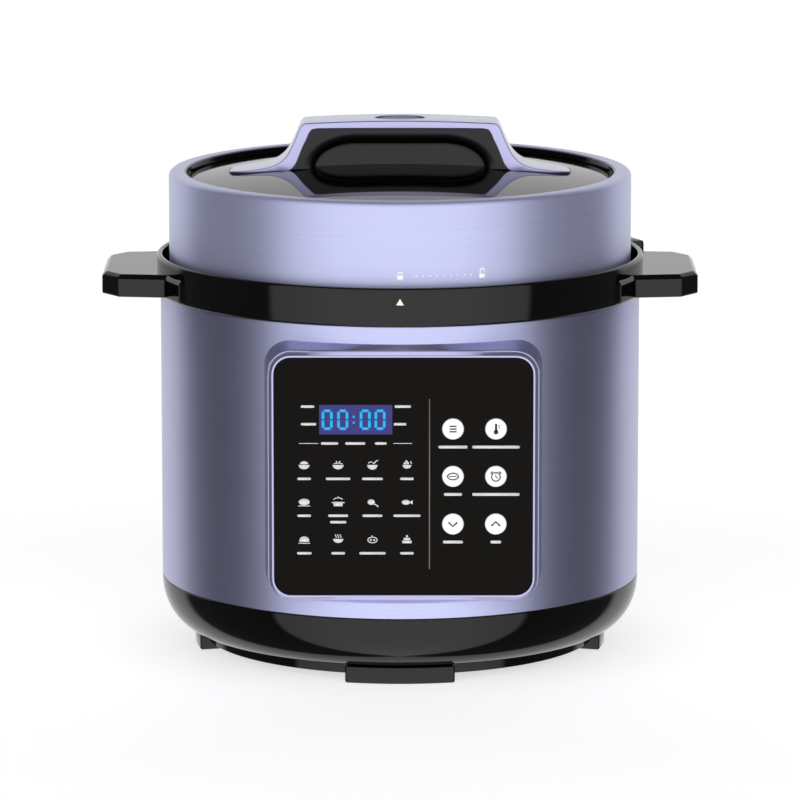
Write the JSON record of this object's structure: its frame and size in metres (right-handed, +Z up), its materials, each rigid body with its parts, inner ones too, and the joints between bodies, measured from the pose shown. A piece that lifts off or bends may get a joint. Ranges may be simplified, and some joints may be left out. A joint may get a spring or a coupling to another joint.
{
  "type": "electric pressure cooker",
  "caption": "Drum-shaped electric pressure cooker with a turning lift-off lid, arched lid handle, raised control panel, side handles, inner pot and condensate cup.",
  "frame": {"origin": "centre of the footprint, on the floor under the feet", "axes": "+Z up, -Y towards the control panel, +X to the panel's right as the user faces it, through the side handle"},
  "size_m": [0.3356, 0.2792, 0.302],
  "materials": {
    "violet_metal": "brushed, pale violet, satin clear coat",
    "violet_paint": "pale violet metallic coat on moulded plastic",
    "black_plastic": "moulded black, fine satin",
    "gloss_black": "glossy black",
    "screen": "blue-violet display window",
    "white_key": "white key cap",
    "clear_cup": "dark smoked cup",
    "steel": "satin steel",
    "cast_aluminium": "machined casting",
    "silicone": "translucent white silicone",
    "ceramic_sleeve": "white sleeve",
    "circuit_board": "green board"
  },
  "bodies": {
    "base": {"base_housing": "black_plastic", "base_plate": "black_plastic", "base_screw_1": "steel", "base_screw_2": "steel", "base_screw_3": "steel", "base_screw_4": "steel", "foot_front": "black_plastic", "foot_right": "black_plastic", "foot_back": "black_plastic", "foot_left": "black_plastic", "outer_shell": "violet_metal", "collar_ring": "black_plastic", "handle_left": "black_plastic", "handle_right": "black_plastic", "outer_pot": "steel", "locking_ring": "steel", "heating_plate": "cast_aluminium", "heating_element": "steel", "sensor_bracket": "steel", "sensor_spring": "steel", "thermal_fuse": "ceramic_sleeve", "pressure_switch": "black_plastic", "power_board": "circuit_board", "panel_frame": "violet_paint", "panel_fascia": "gloss_black", "display_window": "screen", "display_module": "circuit_board", "control_board": "circuit_board", "power_inlet": "black_plastic", "inlet_pin_earth": "steel", "inlet_pin_live": "steel", "inlet_pin_neutral": "steel", "cup_bracket": "black_plastic"},
    "temperature_sensor": {"temperature_sensor": "cast_aluminium"},
    "condensate_cup": {"condensate_cup": "clear_cup"},
    "inner_pot": {"inner_pot": "cast_aluminium"},
    "lid_carrier": {"sealing_ring": "silicone", "seal_retainer": "steel"},
    "lid": {"lid_cover": "violet_paint", "lid_base_ring": "black_plastic", "lid_disc": "gloss_black", "handle_cover": "violet_paint", "handle_core": "black_plastic", "release_spring": "steel", "steam_vent_cap": "black_plastic", "pressure_lid": "steel", "vent_shield": "steel", "steam_pipe": "steel", "lid_post": "steel"},
    "valve_weight": {"valve_weight": "black_plastic"},
    "float_valve": {"float_valve": "steel", "float_seal": "silicone"},
    "release_button": {"release_button": "violet_paint"},
    "key_1": {"key_1": "white_key"},
    "key_2": {"key_2": "white_key"},
    "key_3": {"key_3": "white_key"},
    "key_4": {"key_4": "white_key"},
    "key_5": {"key_5": "white_key"},
    "key_6": {"key_6": "white_key"}
  },
  "joints": [
    {"name": "lid_lift", "type": "slide", "parent": "base", "child": "lid_carrier", "axis": [0, 0, 1], "range_m": [0, 0.3]},
    {"name": "lid_turn", "type": "hinge", "parent": "lid_carrier", "child": "lid", "pos_m": [0, 0, 0.21], "axis": [0, 0, 1], "range_deg": [-20.4, 0]},
    {"name": "inner_pot_lift", "type": "slide", "parent": "base", "child": "inner_pot", "axis": [0, 0, 1], "range_m": [0, 0.18]},
    {"name": "sensor_slide", "type": "slide", "parent": "base", "child": "temperature_sensor", "axis": [0, 0, 1], "range_m": [-0.003, 0], "stiffness_N_per_m": 500, "springref_m": 0.003, "deforming": ["sensor_spring"]},
    {"name": "cup_slide", "type": "slide", "parent": "base", "child": "condensate_cup", "axis": [0.7431, 0.6691, 0], "range_m": [0, 0.06]},
    {"name": "valve_weight_lift", "type": "slide", "parent": "lid", "child": "valve_weight", "axis": [0, 0, 1], "range_m": [0, 0.003]},
    {"name": "float_valve_lift", "type": "slide", "parent": "lid", "child": "float_valve", "axis": [0, 0, 1], "range_m": [0, 0.004]},
    {"name": "release_button_press", "type": "slide", "parent": "lid", "child": "release_button", "axis": [0, 0, -1], "range_m": [0, 0.004], "stiffness_N_per_m": 600, "springref_m": -0.003, "deforming": ["release_spring"]},
    {"name": "key_1_press", "type": "slide", "parent": "base", "child": "key_1", "axis": [0, 1, 0], "range_m": [0, 0.0008], "stiffness_N_per_m": 800, "springref_m": -0.001},
    {"name": "key_2_press", "type": "slide", "parent": "base", "child": "key_2", "axis": [0, 1, 0], "range_m": [0, 0.0008], "stiffness_N_per_m": 800, "springref_m": -0.001},
    {"name": "key_3_press", "type": "slide", "parent": "base", "child": "key_3", "axis": [0, 1, 0], "range_m": [0, 0.0008], "stiffness_N_per_m": 800, "springref_m": -0.001},
    {"name": "key_4_press", "type": "slide", "parent": "base", "child": "key_4", "axis": [0, 1, 0], "range_m": [0, 0.0008], "stiffness_N_per_m": 800, "springref_m": -0.001},
    {"name": "key_5_press", "type": "slide", "parent": "base", "child": "key_5", "axis": [0, 1, 0], "range_m": [0, 0.0008], "stiffness_N_per_m": 800, "springref_m": -0.001},
    {"name": "key_6_press", "type": "slide", "parent": "base", "child": "key_6", "axis": [0, 1, 0], "range_m": [0, 0.0008], "stiffness_N_per_m": 800, "springref_m": -0.001}
  ],
  "couplings": [
    {"joint": "inner_pot_lift", "follows": "lid_lift", "ratio": 0.6}
  ]
}
